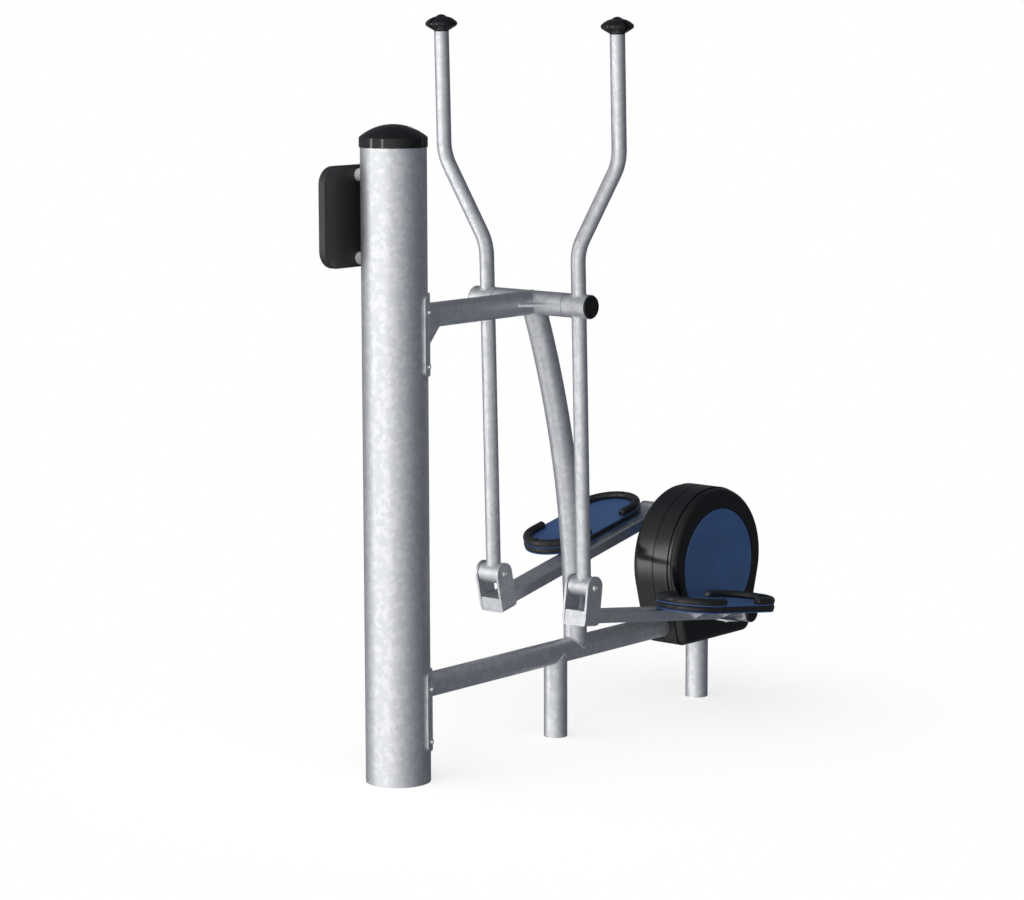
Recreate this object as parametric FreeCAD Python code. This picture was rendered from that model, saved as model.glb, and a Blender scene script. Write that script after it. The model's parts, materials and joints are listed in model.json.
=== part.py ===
# Outdoor cross trainer for parks: a tall galvanised post, a side frame of round tubes,
# two swing levers with knobs, two pedal arms with foot boards, and a crank in a housing.
# Millimetres. The origin is the post's axis at ground level. +Z is up, +Y runs from the post
# to the crank, and +X is the left side of a person who stands on the boards and faces the post.

import FreeCAD, Part
import math
import os

os.makedirs("parts", exist_ok=True)
Vec = FreeCAD.Vector

# Post, its cap, and the two saddles that the side frame is bolted on with
post_radius = 63.5
post_wall = 4.0
post_top = 1240.0
cap_rim_radius = 65.5
cap_overlap = 9.5
cap_rim_height = 18.5
cap_rise = 24.5
cap_edge_rounding = 2.0
cap_wall = 4.0
cap_plug_length = 25.0
upper_saddle_z = 872.8
lower_saddle_z = 140.6
saddle_thickness = 4.0
saddle_height = 157.0
saddle_half_angle = 78.0
saddle_corner = 12.0
saddle_bolt_angle = 65.0
saddle_bolt_spacing = 104.0
saddle_bolt_drop = 7.5
saddle_bolt_radius = 4.0
saddle_bolt_length = 16.0
saddle_head_radius = 6.0
saddle_head_height = 3.6
socket_radius = 2.3
socket_share = 0.5
crown_share = 0.45
overcut = 1.0

# Frame tubes
frame_tube_radius = 24.15
frame_tube_wall = 3.2
upper_tube_z = 902.0
lower_tube_z = 175.0
front_leg_y = 481.0
crank_y = 962.0
down_tube_foot_y = 545.0
down_tube_bend = 1900.0
down_tube_straight_z = 200.0
cope_relief = 4.0
axle_gusset_thickness = 5.0
axle_gusset_width = 46.0
axle_gusset_length = 50.0
post_gusset_thickness = 4.0
post_gusset_x = 21.0
post_gusset_reach = 37.0
post_gusset_top = 890.0
post_gusset_foot = 842.0
post_gusset_nose = 7.0

# Lever axle
axle_y = 410.5
axle_half_width = 90.0
axle_shaft_radius = 10.0
axle_shaft_half = 135.5
collar_width = 14.0
retainer_radius = 14.0
retainer_thickness = 3.0

# Levers, drawn about the axle with Z along the lever
lever_x = 119.0
lever_tilt = 1.55
lever_length = 567.0
lever_radius = 15.0
lever_wall = 2.5
lever_bend = 90.0
handle_first_bend = 112.0
handle_second_bend = 288.0
handle_offset = 107.7
handle_top = 536.0
hub_gap = 1.0
hub_outer = 149.0
hub_wall = 3.15
hub_bearing_width = 12.0
hub_bearing_recess = 2.0
hub_bearing_end_gap = 0.5
hub_cap_thickness = 3.0
hub_cap_inset = 1.2
hub_cap_rounding = 1.2
hub_cap_plug = 8.0
hub_cap_wall = 3.0
knob_radius = 32.4
knob_rim_depth = 3.0
knob_rim_low = 10.2
knob_rim_middle = 15.2
knob_rim_high = 20.5
knob_belly = (23.6, 6.4)
knob_shoulder = (21.6, 26.0)
knob_crown = (10.6, 29.6)
knob_top = 34.0
knob_neck = 1.5
knob_slot_width = 3.6
knob_slot_bottom = 17.6
knob_turns = {1: 73.0, -1: -2.0}
knob_plug_length = 20.0

# Fork at the foot of each lever
fork_sleeve_radius = 21.0
fork_sleeve_bore = 13.0
fork_gap = 50.0
fork_side_gap = 1.0
fork_thickness = 5.0
fork_half_width = 23.0
fork_drop = 78.0
fork_corner = 7.0
fork_chamfer = 6.0
pivot_bolt_radius = 8.0
pivot_thread_radius = 4.0
pivot_head_radius = 7.0
pivot_head_height = 4.2
pivot_nut_radius = 7.5
pivot_nut_height = 6.5
bush_length = 20.0
running_clearance = 0.05

# Pedal arm, drawn about the fork pivot with Y along the arm to the rear
arm_width = 50.0
arm_height = 25.0
arm_wall = 2.5
arm_corner = 4.0
arm_end_plate = 3.0
arm_setback = 1.5
pin_hub_radius = 20.0
pin_hub_wall = 4.0
pin_hub_inner = 92.0
pin_hub_outer = 149.0
pin_bearing_width = 9.0
pin_radius = 7.5
pin_shoulder_radius = 11.0
pin_cap_thickness = 5.0
pin_cap_plug = 4.0
pin_cap_rounding = 3.0
pin_end_gap = 1.0

# Foot board with its blue skins, its rims and its outriggers
board_x = 181.0
board_u = 368.0
board_length = 320.0
board_width = 146.0
core_thickness = 11.5
skin_thickness = 2.5
skin_inset = 1.2
core_rounding = 4.5
outrigger_bar = 3.0
outrigger_bar_width = 40.0
outrigger_web = 4.0
outrigger_spacing = 102.0
outrigger_shift = 36.0
outrigger_reach = 37.0
outrigger_bar_reach = 72.0
rim_radius = 9.0
rim_height = 14.5
rim_leg_end = 55.0
rim_end_rounding = 4.5
rim_recess_depth = 5.0
small_head_radius = 4.4
small_head_height = 2.4
small_shank_radius = 2.5
board_bolts = ((-23.0, -12.0), (11.0, 12.0))
board_bolt_head = 5.5
board_bolt_head_height = 3.2
board_bolt_radius = 3.0
board_bolt_depth = 9.0
pad_radius = 27.0
pad_thickness = 3.0
pad_x = 138.0
pad_u = 472.0
pad_head_radius = 7.0
pad_head_height = 5.0

# Crank and its housing
crank_z = 297.0
crank_radius = 95.0
crank_shaft_radius = 12.5
crank_shaft_half = 50.0
bearing_tube_radius = 30.0
bearing_radius = 23.5
bearing_width = 12.0
bearing_tube_half = 40.0
bearing_shoulder = 2.0
support_plate_thickness = 8.0
support_plate_length = 95.0
support_plate_foot = 14.0
support_plate_back = 20.0
support_plate_top = 15.0
crank_plate_radius = 110.0
crank_plate_inner = 44.0
crank_plate_thickness = 6.0
crank_collar_radius = 20.0
crank_collar_gap = 1.0
disc_radius = 119.0
disc_thickness = 8.5
disc_rounding = 1.5
pin_boss_radius = 18.0
pin_boss_top = 59.6
cover_radius = 18.0
cover_height = 0.8
cover_distance = 99.0
cover_lead = 37.0
pin_end_x = 60.2
housing_radius = 158.2
housing_centre_z = 303.6
housing_flank_angle = 15.3
housing_bottom_z = 131.8
housing_corner = 26.0
housing_corner_least = 2.0
housing_half_width = 58.0
housing_step_x = 38.0
housing_step = 2.5
housing_rounding = 14.0
housing_seam_half = 0.9
housing_seam_depth = 1.2
housing_wall = 4.0
disc_opening_radius = 121.0
tube_hole_clearance = 0.6
housing_boss_radius = 8.0
housing_boss_distance = 136.0
housing_boss_angles = (42.0, 138.0, 220.0, 320.0)
housing_screw_radius = 2.5
housing_screw_reach = 40.0
housing_head_radius = 5.5
housing_head_height = 3.0
housing_head_recess = 3.6
housing_recess_radius = 6.2

# Information board beside the post
info_gap = 11.5
info_thickness = 19.0
info_half_width = 110.0
info_bottom = 999.5
info_height = 195.0
info_corner = 35.0
info_rounding = 4.0
spacer_radius = 12.25
spacer_y = 16.0
spacer_rows = (1016.5, 1175.6)
info_screw_radius = 3.0
info_screw_grip = 4.0
info_head_radius = 6.5
info_head_height = 3.5

# Where the crank pins and pedal arms lie: the crank stands square to the line from the fork
# pivots to the crank's centre, so that both pedal arms have one length.
tilt = math.radians(lever_tilt)
pivot_y = axle_y + lever_length * math.sin(tilt)
pivot_z = upper_tube_z - lever_length * math.cos(tilt)
to_crank_y = crank_y - pivot_y
to_crank_z = crank_z - pivot_z
to_crank = math.hypot(to_crank_y, to_crank_z)
pin_offset_y = crank_radius * to_crank_z / to_crank
pin_offset_z = -crank_radius * to_crank_y / to_crank
coupler = math.hypot(to_crank, crank_radius)
arm_drop = fork_drop - fork_thickness - arm_height / 2
arm_angle = math.asin(arm_drop / coupler)
pin_u = coupler * math.cos(arm_angle)
arm_top = -arm_drop + arm_height / 2
arm_bottom = -arm_drop - arm_height / 2
board_bottom = arm_top + outrigger_bar
board_top = board_bottom + core_thickness + 2 * skin_thickness

SIDES = {"left": 1, "right": -1}
X_AXIS = Vec(1, 0, 0)
Z_AXIS = Vec(0, 0, 1)


def rod(start, end, radius):
    along = end.sub(start)
    return Part.makeCylinder(radius, along.Length, start, along)


def tube(start, end, radius, wall):
    return rod(start, end, radius).cut(rod(start, end, radius - wall))


def rod_x(x0, x1, y, z, radius):
    return rod(Vec(x0, y, z), Vec(x1, y, z), radius)


def ring_x(x0, x1, y, z, outer, inner):
    return rod_x(x0, x1, y, z, outer).cut(rod_x(x0, x1, y, z, inner))


def block(x0, x1, y0, y1, z0, z1):
    return Part.makeBox(x1 - x0, y1 - y0, z1 - z0, Vec(x0, y0, z0))


def polygon(points, push):
    """A flat plate: the closed outline through points, pushed along a vector."""
    face = Part.Face(Part.makePolygon(points + [points[0]]))
    return face.extrude(push)


def side_plate(points, x0, x1):
    """A plate parallel to the YZ plane between x0 and x1, from (y, z) points."""
    return polygon([Vec(x0, y, z) for y, z in points], Vec(x1 - x0, 0, 0))


def bent_path(points, radius):
    """Straight runs through the points, with one tangent arc of the radius at each bend."""
    edges = []
    last = points[0]
    for before, corner, after in zip(points, points[1:], points[2:]):
        into = corner.sub(before).normalize()
        out = after.sub(corner).normalize()
        turn = into.getAngle(out)
        setback = radius * math.tan(turn / 2)
        start = corner.sub(Vec(into).multiply(setback))
        end = corner.add(Vec(out).multiply(setback))
        inward = Vec(out).sub(into).normalize()
        middle = corner.add(inward.multiply(radius / math.cos(turn / 2) - radius))
        edges.append(Part.makeLine(last, start))
        edges.append(Part.Arc(start, middle, end).toShape())
        last = end
    edges.append(Part.makeLine(last, points[-1]))
    return Part.Wire(edges)


def sweep(path, radius):
    edge = path.OrderedEdges[0]
    start = edge.valueAt(edge.FirstParameter)
    along = edge.tangentAt(edge.FirstParameter)
    ring = Part.Wire([Part.makeCircle(radius, start, along)])
    return path.makePipeShell([ring], True, True)


def bent_tube(path, radius, wall):
    return sweep(path, radius).cut(sweep(path, radius - wall))


def stadium(length, width, z0, thickness):
    """A board with round ends, lying flat about the Z axis, long side along Y."""
    radius = width / 2
    half = length / 2 - radius
    body = block(-radius, radius, -half, half, z0, z0 + thickness)
    for end in (-half, half):
        body = body.fuse(rod(Vec(0, end, z0), Vec(0, end, z0 + thickness), radius))
    return body.removeSplitter()


def edges_at(shape, test):
    return [edge for edge in shape.Edges if test(edge)]


def button_screw(tip, seat, head_radius, head_height, shank_radius):
    """A round-headed screw: its head sits on the point seat and its shank ends at tip."""
    along = seat.sub(tip).normalize()
    shank = rod(tip, seat, shank_radius)
    top = seat.add(Vec(along).multiply(head_height))
    head = rod(seat, top, head_radius)
    crown = edges_at(head, lambda edge: edge.BoundBox.Center.sub(top).Length < 1e-6)
    head = head.makeChamfer(head_height * crown_share, crown)
    deep = top.sub(Vec(along).multiply(head_height * socket_share))
    return shank.fuse(head).cut(rod(deep, top, socket_radius)).removeSplitter()


def group(shapes):
    return Part.makeCompound(shapes)


def save(name, shape):
    shape.exportStep("parts/" + name + ".step")


def on_post(angle, distance, z):
    """A point at an angle from +Y towards +X round the post."""
    a = math.radians(angle)
    return Vec(distance * math.sin(a), distance * math.cos(a), z)


def saddle_bolt_places():
    for middle in (upper_saddle_z, lower_saddle_z):
        for dz in (-saddle_bolt_spacing / 2, saddle_bolt_spacing / 2):
            for angle in (-saddle_bolt_angle, saddle_bolt_angle):
                yield angle, middle + dz - saddle_bolt_drop


cap_rim_bottom = post_top - cap_overlap
cap_rim_top = cap_rim_bottom + cap_rim_height
cap_apex = cap_rim_top + cap_rise
saddle_radius = post_radius + saddle_thickness
head_seat = math.sqrt(saddle_radius ** 2 - saddle_head_radius ** 2)
info_x = post_radius + info_gap


def info_screw_places():
    for y in (-spacer_y, spacer_y):
        for z in spacer_rows:
            yield y, z


def make_saddle_bolts():
    bolts = []
    for angle, z in saddle_bolt_places():
        seat = on_post(angle, head_seat, z)
        tip = on_post(angle, head_seat - saddle_bolt_length, z)
        bolts.append(button_screw(tip, seat, saddle_head_radius, saddle_head_height, saddle_bolt_radius))
    return bolts


def make_post():
    post = tube(Vec(0, 0, 0), Vec(0, 0, post_top), post_radius, post_wall)
    for angle, z in saddle_bolt_places():
        post = post.cut(rod(Vec(0, 0, z), on_post(angle, saddle_radius, z), saddle_bolt_radius))
    for y, z in info_screw_places():
        post = post.cut(rod_x(-info_x, 0, y, z, info_screw_radius))
    return post


def dome_arc(outer, edge_z, apex):
    """The section of a spherical dome, from its edge up to the Z axis."""
    rise = apex - edge_z
    radius = (outer ** 2 + rise ** 2) / (2 * rise)
    middle = Vec(outer / 2, 0, apex - radius + math.sqrt(radius ** 2 - outer ** 2 / 4))
    return Part.Arc(Vec(outer, 0, edge_z), middle, Vec(0, 0, apex)).toShape()


def dome_face(outer, bottom, edge_z, apex):
    """Half section of a domed disc, to be turned about the Z axis."""
    edges = [
        Part.makeLine(Vec(0, 0, bottom), Vec(outer, 0, bottom)),
        Part.makeLine(Vec(outer, 0, bottom), Vec(outer, 0, edge_z)),
        dome_arc(outer, edge_z, apex),
        Part.makeLine(Vec(0, 0, apex), Vec(0, 0, bottom)),
    ]
    return Part.Face(Part.Wire(edges))


def make_post_cap():
    bore = post_radius - post_wall
    whole = dome_face(cap_rim_radius, cap_rim_bottom, cap_rim_top, cap_apex).revolve(Vec(), Z_AXIS, 360)
    rim = edges_at(whole, lambda edge: abs(edge.BoundBox.ZMin - cap_rim_top) < 1e-6
                   and edge.BoundBox.ZLength < 1e-6)
    whole = whole.makeFillet(cap_edge_rounding, rim)
    hollow = dome_face(bore - cap_wall, post_top, cap_rim_top - cap_wall, cap_apex - cap_wall)
    whole = whole.cut(hollow.revolve(Vec(), Z_AXIS, 360))
    whole = whole.cut(rod(Vec(0, 0, cap_rim_bottom), Vec(0, 0, post_top), post_radius))
    plug = tube(Vec(0, 0, post_top - cap_plug_length), Vec(0, 0, post_top), bore, cap_wall)
    return whole.fuse(plug).removeSplitter()


def make_saddle(middle):
    z0 = middle - saddle_height / 2
    start = on_post(-saddle_half_angle, post_radius, z0)
    out = on_post(-saddle_half_angle, saddle_radius, z0)
    up = Vec(0, 0, saddle_height)
    section = Part.Face(Part.makePolygon([start, out, out.add(up), start.add(up), start]))
    saddle = section.revolve(Vec(), Z_AXIS, -2 * saddle_half_angle)
    corners = edges_at(saddle, lambda edge: edge.BoundBox.ZLength < 1e-6
                       and abs(edge.Length - saddle_thickness) < 1e-6)
    saddle = saddle.makeFillet(saddle_corner, corners)
    for angle, z in saddle_bolt_places():
        seat = on_post(angle, head_seat, z)
        saddle = saddle.cut(rod(seat, on_post(angle, 2 * saddle_radius, z), saddle_head_radius))
        saddle = saddle.cut(rod(Vec(0, 0, z), seat, saddle_bolt_radius))
    return saddle


def post_column():
    return rod(Vec(0, 0, 0), Vec(0, 0, post_top), saddle_radius)


def axle_outside():
    return rod_x(-hub_outer, hub_outer, axle_y, upper_tube_z, frame_tube_radius)


def make_upper_tube():
    end = Vec(0, axle_y - cope_relief, upper_tube_z)
    raw = tube(Vec(0, 0, upper_tube_z), end, frame_tube_radius, frame_tube_wall)
    return keep_largest(raw.cut(post_column()).cut(axle_outside()))


def make_lower_tube():
    end = Vec(0, crank_y - cope_relief, lower_tube_z)
    raw = tube(Vec(0, 0, lower_tube_z), end, frame_tube_radius, frame_tube_wall)
    leg = rod(Vec(0, crank_y, 0), Vec(0, crank_y, crank_z), frame_tube_radius)
    return keep_largest(raw.cut(post_column()).cut(leg))


def keep_largest(shape):
    return max(shape.Solids, key=lambda solid: solid.Volume)


def make_axle_tube():
    return tube(Vec(-axle_half_width, axle_y, upper_tube_z), Vec(axle_half_width, axle_y, upper_tube_z),
                frame_tube_radius, frame_tube_wall)


def make_down_tube():
    foot = Vec(0, down_tube_foot_y, lower_tube_z + cope_relief)
    straight = Vec(0, down_tube_foot_y, down_tube_straight_z)
    centre_y = down_tube_foot_y - down_tube_bend
    rise = upper_tube_z - down_tube_straight_z
    whole = math.asin(rise / down_tube_bend)
    points = []
    for part in (0.5, 1.0):
        a = whole * part
        points.append(Vec(0, centre_y + down_tube_bend * math.cos(a),
                          down_tube_straight_z + down_tube_bend * math.sin(a)))
    arc = Part.Arc(straight, points[0], points[1]).toShape()
    path = Part.Wire([Part.makeLine(foot, straight), arc])
    raw = bent_tube(path, frame_tube_radius, frame_tube_wall)
    raw = raw.cut(axle_outside())
    lower = rod(Vec(0, 0, lower_tube_z), Vec(0, crank_y, lower_tube_z), frame_tube_radius)
    upper = rod(Vec(0, 0, upper_tube_z), Vec(0, axle_y, upper_tube_z), frame_tube_radius)
    return keep_largest(raw.cut(lower).cut(upper))


def make_front_leg():
    end = Vec(0, front_leg_y, lower_tube_z - cope_relief)
    raw = tube(Vec(0, front_leg_y, 0), end, frame_tube_radius, frame_tube_wall)
    lower = rod(Vec(0, 0, lower_tube_z), Vec(0, crank_y, lower_tube_z), frame_tube_radius)
    return keep_largest(raw.cut(lower))


def make_rear_leg():
    raw = tube(Vec(0, crank_y, 0), Vec(0, crank_y, crank_z), frame_tube_radius, frame_tube_wall)
    bearing = rod_x(-bearing_tube_half, bearing_tube_half, crank_y, crank_z, bearing_tube_radius)
    return keep_largest(raw.cut(bearing))


def make_gussets():
    """Two flat webs in the corners of the T, and two under the upper tube at its saddle."""
    plates = []
    upper = rod(Vec(0, 0, upper_tube_z), Vec(0, axle_y, upper_tube_z), frame_tube_radius)
    corner_y = axle_y - frame_tube_radius
    low_z = upper_tube_z - axle_gusset_thickness / 2
    for side in (-1, 1):
        reach = side * (frame_tube_radius + axle_gusset_width)
        start = corner_y - axle_gusset_length
        points = [(0, start), (side * frame_tube_radius, start), (reach, corner_y), (reach, axle_y),
                  (0, axle_y)]
        web = polygon([Vec(x, y, low_z) for x, y in points], Vec(0, 0, axle_gusset_thickness))
        plates.append(keep_largest(web.cut(upper).cut(axle_outside())))
    for side in (-1, 1):
        x0 = side * post_gusset_x - post_gusset_thickness / 2
        tip = saddle_radius + post_gusset_reach
        points = [(0, post_gusset_top), (0, post_gusset_foot), (saddle_radius, post_gusset_foot),
                  (tip, post_gusset_top - post_gusset_nose), (tip, post_gusset_top)]
        web = side_plate(points, x0, x0 + post_gusset_thickness)
        plates.append(keep_largest(web.cut(upper).cut(post_column())))
    return plates


def make_shaft_collars():
    """Rings that hold the axle shaft in the ends of the axle tube, and a disc on each shaft end."""
    pieces = []
    bore = frame_tube_radius - frame_tube_wall
    for side in (-1, 1):
        inner = side * (axle_half_width - collar_width)
        outer = side * axle_half_width
        pieces.append(ring_x(inner, outer, axle_y, upper_tube_z, bore, axle_shaft_radius))
        seat = Vec(side * (axle_shaft_half + retainer_thickness), axle_y, upper_tube_z)
        face = Vec(side * axle_shaft_half, axle_y, upper_tube_z)
        disc = rod(face, seat, retainer_radius)
        pieces.append(disc)
    return pieces


def in_lever(shape):
    """Stand a shape, drawn about the origin with Z up the lever, at the lever axle."""
    moved = shape.copy()
    stand = FreeCAD.Placement(Vec(0, axle_y, upper_tube_z), FreeCAD.Rotation(X_AXIS, lever_tilt))
    moved.Placement = stand.multiply(moved.Placement)
    return moved


def knob_profile():
    """Half section of the lens-shaped knob on its plug, about the middle of the tube's end."""
    bore = lever_radius - lever_wall
    plug_end = Vec(0, 0, -knob_plug_length)
    neck = Vec(lever_radius, 0, knob_neck)
    rim_low = Vec(knob_radius - knob_rim_depth, 0, knob_rim_low)
    rim_high = Vec(knob_radius - knob_rim_depth, 0, knob_rim_high)
    crown = Vec(knob_crown[0], 0, knob_crown[1])
    edges = [
        Part.makeLine(plug_end, Vec(bore, 0, -knob_plug_length)),
        Part.makeLine(Vec(bore, 0, -knob_plug_length), Vec(bore, 0, 0)),
        Part.makeLine(Vec(bore, 0, 0), Vec(lever_radius, 0, 0)),
        Part.makeLine(Vec(lever_radius, 0, 0), neck),
        Part.Arc(neck, Vec(knob_belly[0], 0, knob_belly[1]), rim_low).toShape(),
        Part.Arc(rim_low, Vec(knob_radius, 0, knob_rim_middle), rim_high).toShape(),
        Part.Arc(rim_high, Vec(knob_shoulder[0], 0, knob_shoulder[1]), crown).toShape(),
        dome_arc(knob_crown[0], knob_crown[1], knob_top),
        Part.makeLine(Vec(0, 0, knob_top), plug_end),
    ]
    return Part.Face(Part.Wire(edges))


def make_knob(side):
    knob = knob_profile().revolve(Vec(), Z_AXIS, 360)
    for way in (-1, 1):
        y0, y1 = sorted((way * knob_slot_bottom, way * 2 * knob_radius))
        knob = knob.cut(block(-knob_slot_width / 2, knob_slot_width / 2, y0, y1, 0, knob_top))
    knob.rotate(Vec(), Z_AXIS, knob_turns[side])
    knob.translate(Vec(side * (lever_x + handle_offset), 0, handle_top))
    return in_lever(knob)


def make_lever(name, side):
    x = side * lever_x
    hub_inner = side * (axle_half_width + hub_gap)
    hub_end = side * hub_outer
    hub_radius = frame_tube_radius
    hub_bore = hub_radius - hub_wall
    far_x = side * (lever_x + handle_offset)
    path = bent_path([Vec(x, 0, 0), Vec(x, 0, handle_first_bend), Vec(far_x, 0, handle_second_bend),
                      Vec(far_x, 0, handle_top)], lever_bend)
    hub_solid = rod_x(hub_inner, hub_end, 0, 0, hub_radius)
    handle = keep_largest(bent_tube(path, lever_radius, lever_wall).cut(hub_solid))
    save(name + "_handle", in_lever(handle))
    save(name + "_hub_sleeve", in_lever(ring_x(hub_inner, hub_end, 0, 0, hub_radius, hub_bore)))

    bearings = []
    for inner in (axle_half_width + hub_gap + hub_bearing_recess,
                  axle_shaft_half - hub_bearing_width - hub_bearing_end_gap):
        bearings.append(in_lever(ring_x(side * inner, side * (inner + hub_bearing_width), 0, 0, hub_bore,
                                        axle_shaft_radius + running_clearance)))
    save(name + "_hub_bearings", group(bearings))

    cap = rod_x(hub_end, hub_end + side * hub_cap_thickness, 0, 0, hub_radius - hub_cap_inset)
    outer_edge = edges_at(cap, lambda edge: abs(abs(edge.BoundBox.Center.x) - hub_outer - hub_cap_thickness)
                          < 1e-6 and edge.BoundBox.XLength < 1e-6)
    cap = cap.makeFillet(hub_cap_rounding, outer_edge)
    plug = ring_x(hub_end - side * hub_cap_plug, hub_end, 0, 0, hub_bore, hub_bore - hub_cap_wall)
    save(name + "_hub_cap", in_lever(cap.fuse(plug).removeSplitter()))

    fork_solid = rod_x(x - fork_gap / 2, x + fork_gap / 2, 0, -lever_length, fork_sleeve_radius)
    lower = tube(Vec(x, 0, -lever_length), Vec(x, 0, 0), lever_radius, lever_wall)
    lower = keep_largest(lower.cut(hub_solid).cut(fork_solid))
    half = fork_gap / 2 - fork_side_gap
    sleeve = ring_x(x - half, x + half, 0, -lever_length, fork_sleeve_radius, fork_sleeve_bore)
    save(name + "_lower_lever", in_lever(lower.fuse(sleeve).removeSplitter()))

    bushes = []
    for way in (-1, 1):
        bushes.append(in_lever(ring_x(x + way * (half - bush_length), x + way * half, 0, -lever_length,
                                      fork_sleeve_bore, pivot_bolt_radius + running_clearance)))
    save(name + "_pivot_bushes", group(bushes))
    save(name + "_knob", make_knob(side))


def in_pedal(shape, side):
    """Stand a shape, drawn about the fork pivot with Y along the pedal arm, where it belongs."""
    pin_y = crank_y + side * pin_offset_y
    pin_z = crank_z + side * pin_offset_z
    pitch = math.atan2(pin_z - pivot_z, pin_y - pivot_y) + arm_angle
    moved = shape.copy()
    stand = FreeCAD.Placement(Vec(0, pivot_y, pivot_z), FreeCAD.Rotation(X_AXIS, math.degrees(pitch)))
    moved.Placement = stand.multiply(moved.Placement)
    return moved


def make_fork(x):
    """A strap bent to a U: two round-topped ears and the web that the arm lies on."""
    half = fork_gap / 2 + fork_thickness
    outer = block(x - half, x + half, -fork_half_width, fork_half_width, -fork_drop, 0)
    low_edges = edges_at(outer, lambda edge: edge.BoundBox.YLength > fork_half_width
                         and abs(edge.BoundBox.ZMax + fork_drop) < 1e-6)
    outer = outer.makeFillet(fork_corner, low_edges)
    outer = outer.fuse(rod_x(x - half, x + half, 0, 0, fork_half_width))
    inner = block(x - fork_gap / 2, x + fork_gap / 2, -2 * fork_half_width, 2 * fork_half_width,
                  -fork_drop + fork_thickness, 2 * fork_half_width)
    inner_edges = edges_at(inner, lambda edge: edge.BoundBox.YLength > fork_half_width
                           and abs(edge.BoundBox.ZMax + fork_drop - fork_thickness) < 1e-6)
    inner = inner.makeFillet(arm_corner, inner_edges)
    front = fork_half_width + overcut
    under = -fork_drop - overcut
    flat_end = fork_half_width - fork_chamfer
    nip = [(front, under), (flat_end, under), (flat_end, -fork_drop),
           (fork_half_width, -fork_drop + fork_chamfer), (front, -fork_drop + fork_chamfer)]
    fork = outer.cut(inner).cut(side_plate(nip, x - half - overcut, x + half + overcut))
    return fork.cut(rod_x(x - half, x + half, 0, 0, pivot_thread_radius)).removeSplitter()


def make_pivot_bolt(x):
    """A shoulder bolt: its head is outside the +X ear and its nut outside the -X ear."""
    half = fork_gap / 2
    ear = half + fork_thickness
    shoulder = rod_x(x - half, x + half, 0, 0, pivot_bolt_radius)
    bolt = button_screw(Vec(x - ear - pivot_nut_height, 0, 0), Vec(x + ear, 0, 0), pivot_head_radius,
                        pivot_head_height, pivot_thread_radius)
    bolt = bolt.fuse(shoulder).removeSplitter()
    corners = []
    for step in range(6):
        a = math.radians(60 * step)
        corners.append((pivot_nut_radius * math.cos(a), pivot_nut_radius * math.sin(a)))
    nut = side_plate(corners, x - ear - pivot_nut_height, x - ear)
    return [bolt, nut.cut(bolt)]


def make_arm(x, side):
    """The rectangular pedal tube, closed in front, with the pin hub welded across its rear end."""
    front = arm_setback - fork_half_width
    half = arm_width / 2
    outer = block(x - half, x + half, front, pin_u, arm_bottom, arm_top)
    long_edges = edges_at(outer, lambda edge: edge.BoundBox.YLength > pin_u)
    outer = outer.makeFillet(arm_corner, long_edges)
    inner = block(x - half + arm_wall, x + half - arm_wall, front + arm_end_plate, pin_u,
                  arm_bottom + arm_wall, arm_top - arm_wall)
    hub_x = (side * pin_hub_inner, side * pin_hub_outer)
    hub_solid = rod_x(hub_x[0], hub_x[1], pin_u, -arm_drop, pin_hub_radius)
    arm = keep_largest(outer.cut(inner).cut(hub_solid))
    arm = arm.cut(rod(Vec(side * pad_x, pad_u, arm_bottom), Vec(side * pad_x, pad_u, -arm_drop),
                      board_bolt_radius))
    hub = ring_x(hub_x[0], hub_x[1], pin_u, -arm_drop, pin_hub_radius, pin_hub_radius - pin_hub_wall)
    return arm.fuse(hub).removeSplitter()


outrigger_places = (board_u + outrigger_shift - outrigger_spacing / 2,
                    board_u + outrigger_shift + outrigger_spacing / 2)


def board_bolt_places(side):
    for u in outrigger_places:
        for dx, du in board_bolts:
            yield side * (board_x + dx), u + du


def make_outriggers(side):
    """Bars across the arm with a web each, which carry the board, and a round pad under the arm."""
    arm_face = lever_x + arm_width / 2
    pieces = []
    for u in outrigger_places:
        inner = side * (lever_x - arm_width / 2 + arm_corner)
        outer = side * (arm_face + outrigger_bar_reach)
        x0, x1 = sorted((inner, outer))
        half = outrigger_bar_width / 2
        bar = block(x0, x1, u - half, u + half, arm_top, arm_top + outrigger_bar)
        low = arm_bottom + arm_corner
        web = polygon([Vec(side * arm_face, u - outrigger_web / 2, arm_top),
                       Vec(side * arm_face, u - outrigger_web / 2, low),
                       Vec(side * (arm_face + outrigger_reach), u - outrigger_web / 2, arm_top)],
                      Vec(0, outrigger_web, 0))
        piece = bar.fuse(web).removeSplitter()
        for x, v in board_bolt_places(side):
            piece = piece.cut(rod(Vec(x, v, arm_bottom), Vec(x, v, board_bottom), board_bolt_radius))
        pieces.append(piece)
    below = Vec(side * pad_x, pad_u, arm_bottom - pad_thickness)
    pad = rod(below, Vec(side * pad_x, pad_u, arm_bottom), pad_radius)
    pieces.append(pad.cut(make_pad_bolt(side)))
    return pieces


def make_pad_bolt(side):
    return button_screw(Vec(side * pad_x, pad_u, arm_bottom + arm_wall),
                        Vec(side * pad_x, pad_u, arm_bottom - pad_thickness), pad_head_radius,
                        pad_head_height, board_bolt_radius)


def rim_path(leg_end, way, z):
    """Centre line of one rim: along one side, round the board's tip, and back along the other."""
    inset = board_width / 2 - rim_radius
    tip = way * (board_length / 2 - board_width / 2)
    a = Vec(-inset, leg_end, z)
    b = Vec(-inset, tip, z)
    c = Vec(inset, tip, z)
    d = Vec(inset, leg_end, z)
    arc = Part.Arc(b, Vec(0, tip + way * inset, z), c).toShape()
    return Part.Wire([Part.makeLine(a, b), arc, Part.makeLine(c, d)])


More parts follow.
